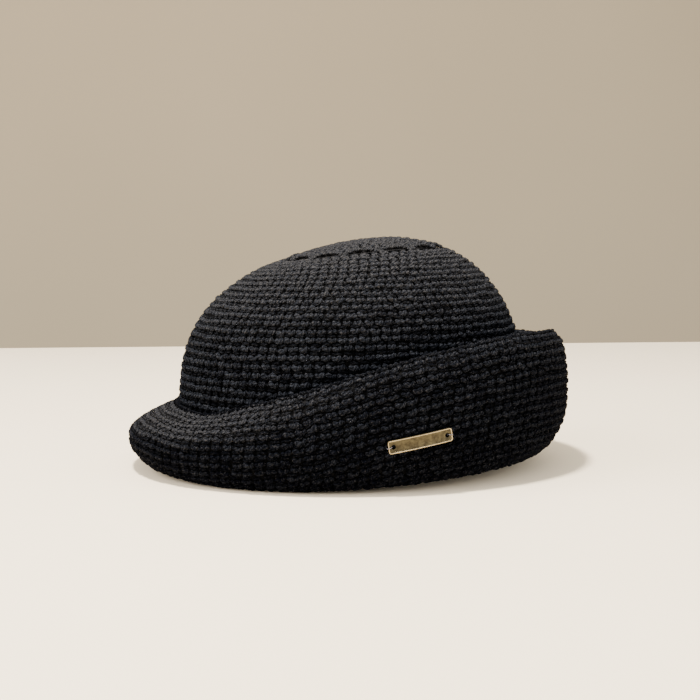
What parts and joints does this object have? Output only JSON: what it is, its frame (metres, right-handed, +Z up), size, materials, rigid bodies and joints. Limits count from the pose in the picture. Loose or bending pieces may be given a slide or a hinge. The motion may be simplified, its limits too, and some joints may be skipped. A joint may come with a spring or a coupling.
{
  "type": "crocheted brimmed hat",
  "caption": "Crocheted hat with a soft dome crown, a ring of eyelet slots at the top, a turned-up brim that lowers to a short front visor, and a small bare name plate on one side.",
  "frame": {"origin": "centre of the hat's bounding box in plan, on the surface that it rests on", "axes": "+Z up, +X to the back of the hat, -X to the visor, -Y the side with the name plate"},
  "size_m": [0.2636, 0.2198, 0.1336],
  "materials": {
    "yarn": "matte",
    "plate": "satin",
    "thread": "matte"
  },
  "bodies": {
    "root": {"crown": "yarn", "brim": "yarn", "name_plate": "plate", "plate_thread_front": "thread", "plate_thread_back": "thread"}
  },
  "joints": []
}
